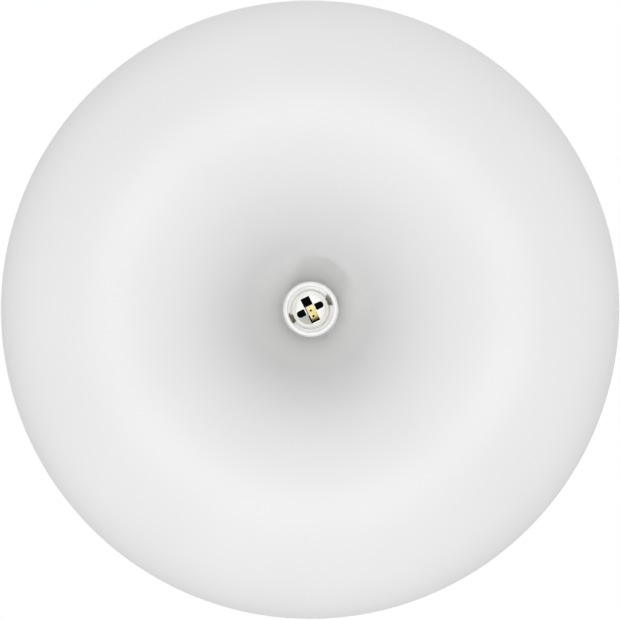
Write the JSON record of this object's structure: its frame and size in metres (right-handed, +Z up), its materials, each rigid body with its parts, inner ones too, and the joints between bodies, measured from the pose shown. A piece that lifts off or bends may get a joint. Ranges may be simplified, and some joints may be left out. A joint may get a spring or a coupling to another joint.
{
  "type": "ceiling light",
  "caption": "Ring-shaped white ceiling light: a spun shade with a screw lampholder in the middle of its dish, hung by a twist lock on a ceiling plate.",
  "frame": {"origin": "centre of the ceiling plate's back face, on the ceiling plane, midway between the two ceiling screw slots", "axes": "+Z up into the ceiling; the light hangs towards -Z; the two ceiling screw slots lie along X"},
  "size_m": [0.3999, 0.4, 0.125],
  "materials": {
    "shade_powder_coat": "matte white powder coat on spun steel, fine orange peel",
    "zinc_steel": "pressed steel, bright zinc plate",
    "screw_steel": "turned steel, bright zinc plate",
    "holder_plastic": "white thermoplastic polyester, satin moulded",
    "contact_block_plastic": "white glass-filled polyester, satin moulded",
    "black_insulator": "black fibre sheet, matte",
    "terminal_nylon": "natural white polyamide, slightly translucent",
    "brass": "rolled brass, lightly tarnished",
    "nickel_plate": "nickel plated spring bronze, dull",
    "grommet_rubber": "moulded rubber, matte",
    "bush_plastic": "ivory polyamide, matte",
    "brown_insulation": "brown silicone insulation",
    "blue_insulation": "blue silicone insulation",
    "earth_insulation": "green insulation with a yellow stripe"
  },
  "bodies": {
    "ceiling_mount": {"ceiling_plate": "zinc_steel", "locking_studs": "screw_steel", "cable_grommet": "grommet_rubber", "earth_screw": "screw_steel", "earth_cup_washer": "brass"},
    "shade_unit": {"shade": "shade_powder_coat", "mounting_cup": "zinc_steel", "hub_rivets": "screw_steel", "nipple": "brass", "nipple_nut": "screw_steel", "earth_washer": "zinc_steel", "nipple_bush": "bush_plastic", "lampholder_skirt": "holder_plastic", "lampholder_rear_cap": "holder_plastic", "contact_block": "contact_block_plastic", "insulating_disc": "black_insulator", "rear_cap_lock_screw": "screw_steel", "holder_terminals": "brass", "holder_terminal_screws": "screw_steel", "terminal_block": "terminal_nylon", "terminal_barrels": "brass", "terminal_screws": "screw_steel", "block_fixing_screws": "screw_steel", "line_lead": "brown_insulation", "neutral_lead": "blue_insulation", "earth_lead": "earth_insulation"},
    "centre_spring": {"centre_contact": "brass"},
    "side_spring_right": {"side_contact_right": "nickel_plate"},
    "side_spring_left": {"side_contact_left": "nickel_plate"}
  },
  "joints": [
    {"name": "shade_twist", "type": "hinge", "parent": "ceiling_mount", "child": "shade_unit", "pos_m": [0, 0, 0], "axis": [0, 0, -1], "range_deg": [0, 22]},
    {"name": "centre_contact_press", "type": "hinge", "parent": "shade_unit", "child": "centre_spring", "pos_m": [0.00333, 0.00683, -0.0586], "axis": [-0.8988, 0.4384, 0], "range_deg": [0, 15], "stiffness_Nm_per_rad": 0.3},
    {"name": "side_contact_press_right", "type": "hinge", "parent": "shade_unit", "child": "side_spring_right", "pos_m": [0.01204, -0.00587, -0.0475], "axis": [-0.4384, -0.8988, 0], "range_deg": [0, 4.5], "stiffness_Nm_per_rad": 0.5},
    {"name": "side_contact_press_left", "type": "hinge", "parent": "shade_unit", "child": "side_spring_left", "pos_m": [-0.01204, 0.00587, -0.0475], "axis": [0.4384, 0.8988, 0], "range_deg": [0, 4.5], "stiffness_Nm_per_rad": 0.5}
  ]
}
